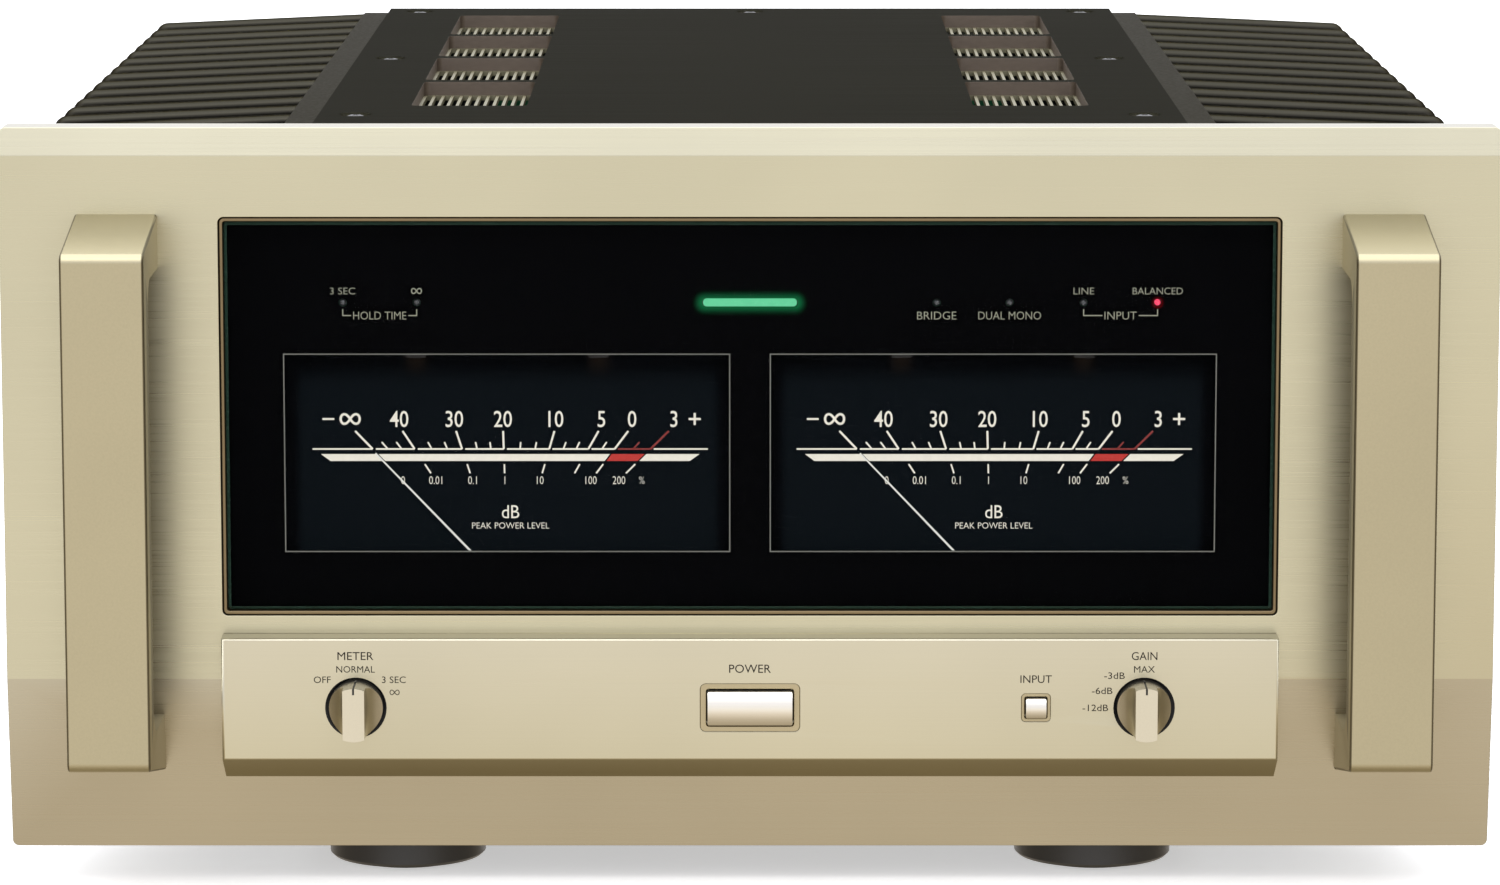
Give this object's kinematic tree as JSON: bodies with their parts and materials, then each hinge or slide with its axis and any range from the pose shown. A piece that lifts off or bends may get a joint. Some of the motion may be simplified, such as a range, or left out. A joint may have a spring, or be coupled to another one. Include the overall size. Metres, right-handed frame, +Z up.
{
  "type": "power amplifier",
  "caption": "Stereo power amplifier with a champagne front panel, needle meters behind glass, two handles and finned side heat sinks.",
  "frame": {"origin": "on the floor under the middle of the bounding box", "axes": "+X to the right seen from the front, +Y from the front panel to the rear, +Z up"},
  "size_m": [0.465, 0.515, 0.24],
  "materials": {
    "front_panel": "fine horizontal brushed champagne anodising",
    "control_panel": "fine horizontal brushed champagne anodising",
    "window_frame": "satin bronze",
    "glass": "polished tinted glass",
    "mask": "black print",
    "handle": "bead blasted champagne anodising",
    "steel_fastener": "blackened steel",
    "meter_case": "matte black",
    "dial": "dark blue-black print",
    "needle": "warm white",
    "movement": "zinc plated",
    "dial_lamp": "amber lamp",
    "indicator": "coloured lens",
    "circuit_board": "green solder mask",
    "zinc_sheet": "zinc plated sheet",
    "switch_body": "moulded",
    "knob": "satin champagne anodising",
    "shaft": "ground steel",
    "button": "polished satin",
    "bezel": "satin champagne anodising",
    "top_plate": "dark brushed anodising",
    "bright_screw": "plated steel",
    "grille": "olive-grey paint",
    "heatsink": "olive-black anodising",
    "chassis_black": "black paint",
    "rear_panel": "black satin paint",
    "winding": "varnished tape",
    "capacitor": "black sleeve",
    "transistor": "moulded epoxy",
    "wire": "insulated wire",
    "inlet": "moulded",
    "gold_socket": "gold plated",
    "socket_black": "black chrome",
    "terminal_base": "moulded",
    "terminal_cap": "gold plated, fluted",
    "slider": "moulded",
    "foot": "black cast iron",
    "foot_pad": "rubber"
  },
  "bodies": {
    "chassis": {"front_panel": "front_panel", "control_panel": "control_panel", "window_frame": "window_frame", "window_glass": "glass", "window_mask": "mask", "left_handle": "handle", "right_handle": "handle", "handle_bolts": "steel_fastener", "meter_cases": "meter_case", "meter_dials": "dial", "meter_movements": "movement", "dial_lamps": "dial_lamp", "indicator_lamps": "indicator", "indicator_board": "circuit_board", "control_bracket": "zinc_sheet", "rotary_switches": "switch_body", "push_switches": "switch_body", "power_bezel": "bezel", "input_bezel": "bezel", "top_plate": "top_plate", "top_screws": "bright_screw", "vent_grilles": "grille", "top_frame": "zinc_sheet", "left_heatsink": "heatsink", "right_heatsink": "heatsink", "bottom_plate": "chassis_black", "bulkhead": "zinc_sheet", "rear_panel": "rear_panel", "rear_screws": "bright_screw", "transformer": "winding", "transformer_clamp": "zinc_sheet", "filter_capacitors": "capacitor", "capacitor_bracket": "zinc_sheet", "amp_boards": "circuit_board", "board_spacers": "bright_screw", "output_transistors": "transistor", "rectifiers": "transistor", "input_board": "circuit_board", "wiring_loom": "wire", "mains_inlet": "inlet", "line_sockets": "gold_socket", "balanced_sockets": "socket_black", "speaker_bases": "terminal_base", "speaker_posts": "gold_socket", "mode_switch": "switch_body", "feet": "foot", "foot_pads": "foot_pad"},
    "meter_knob": {"meter_knob": "knob", "meter_knob_shaft": "shaft"},
    "gain_knob": {"gain_knob": "knob", "gain_knob_shaft": "shaft"},
    "power_button": {"power_button": "button"},
    "input_button": {"input_button": "button"},
    "left_needle": {"left_needle": "needle"},
    "right_needle": {"right_needle": "needle"},
    "cap_left_plus": {"cap_left_plus": "terminal_cap"},
    "cap_left_minus": {"cap_left_minus": "terminal_cap"},
    "cap_right_plus": {"cap_right_plus": "terminal_cap"},
    "cap_right_minus": {"cap_right_minus": "terminal_cap"},
    "mode_slider": {"mode_slider": "slider"}
  },
  "joints": [
    {"name": "power_button_push", "type": "slide", "parent": "chassis", "child": "power_button", "axis": [0, 1, 0], "range_m": [0, 0.003], "stiffness_N_per_m": 300},
    {"name": "input_button_push", "type": "slide", "parent": "chassis", "child": "input_button", "axis": [0, 1, 0], "range_m": [0, 0.002], "stiffness_N_per_m": 200},
    {"name": "meter_knob_turn", "type": "hinge", "parent": "chassis", "child": "meter_knob", "pos_m": [-0.1228, -0.2212, 0.0597], "axis": [0, 1, 0], "range_deg": [-30, 60]},
    {"name": "gain_knob_turn", "type": "hinge", "parent": "chassis", "child": "gain_knob", "pos_m": [0.1228, -0.2212, 0.0597], "axis": [0, 1, 0], "range_deg": [-90, 0]},
    {"name": "left_needle_swing", "type": "hinge", "parent": "chassis", "child": "left_needle", "pos_m": [-0.0758, -0.201, 0.0934], "axis": [0, 1, 0], "range_deg": [0, 88], "stiffness_Nm_per_rad": 0.0002},
    {"name": "right_needle_swing", "type": "hinge", "parent": "chassis", "child": "right_needle", "pos_m": [0.0758, -0.201, 0.0934], "axis": [0, 1, 0], "range_deg": [0, 88], "stiffness_Nm_per_rad": 0.0002},
    {"name": "mode_slider_shift", "type": "slide", "parent": "chassis", "child": "mode_slider", "axis": [1, 0, 0], "range_m": [0, 0.0068]},
    {"name": "cap_right_plus_turn", "type": "hinge", "parent": "chassis", "child": "cap_right_plus", "pos_m": [-0.105, 0.24, 0.072], "axis": [0, 1, 0], "range_deg": [0, 1440]},
    {"name": "cap_right_minus_turn", "type": "hinge", "parent": "chassis", "child": "cap_right_minus", "pos_m": [-0.07, 0.24, 0.072], "axis": [0, 1, 0], "range_deg": [0, 1440]},
    {"name": "cap_left_minus_turn", "type": "hinge", "parent": "chassis", "child": "cap_left_minus", "pos_m": [0.07, 0.24, 0.072], "axis": [0, 1, 0], "range_deg": [0, 1440]},
    {"name": "cap_left_plus_turn", "type": "hinge", "parent": "chassis", "child": "cap_left_plus", "pos_m": [0.105, 0.24, 0.072], "axis": [0, 1, 0], "range_deg": [0, 1440]}
  ]
}
